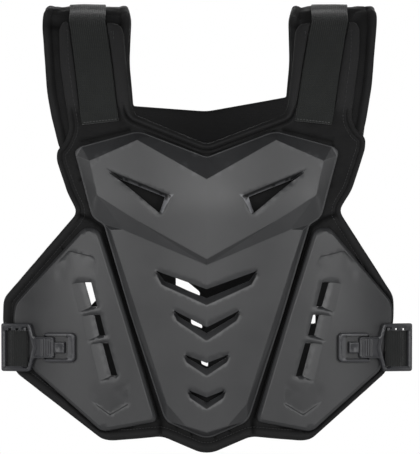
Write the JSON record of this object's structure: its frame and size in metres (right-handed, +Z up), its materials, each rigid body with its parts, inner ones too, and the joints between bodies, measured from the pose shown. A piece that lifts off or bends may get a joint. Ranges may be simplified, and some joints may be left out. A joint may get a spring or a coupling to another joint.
{
  "type": "motorcycle armour vest",
  "caption": "Sleeveless chest and back protector: black foam pads under dark grey moulded shells, joined by shoulder webbing and fastened by side-release buckles.",
  "frame": {"origin": "where the vest hangs on its wearer: the centre plane, halfway between front and back, level with the underside of the shoulder wings", "axes": "+Z up, -Y towards the front of the vest, +X towards the right of someone who looks at the front"},
  "size_m": [0.4546, 0.2511, 0.4949],
  "materials": {
    "foam_fabric": "matt knitted cover on foam",
    "shell_plastic": "fine grained satin",
    "webbing_fabric": "woven, matt",
    "strap_elastic": "woven elastic, matt",
    "buckle_plastic": "smooth satin"
  },
  "bodies": {
    "root": {"front_pad": "foam_fabric", "back_pad": "foam_fabric", "chest_shell": "shell_plastic", "back_shell": "shell_plastic", "side_shell_left": "shell_plastic", "shoulder_webbing_left": "webbing_fabric", "side_strap_left": "strap_elastic", "buckle_frame_left": "buckle_plastic", "buckle_socket_left": "buckle_plastic", "buckle_button_left": "buckle_plastic", "side_shell_right": "shell_plastic", "shoulder_webbing_right": "webbing_fabric", "side_strap_right": "strap_elastic", "buckle_frame_right": "buckle_plastic", "buckle_socket_right": "buckle_plastic", "buckle_button_right": "buckle_plastic"}
  },
  "joints": []
}
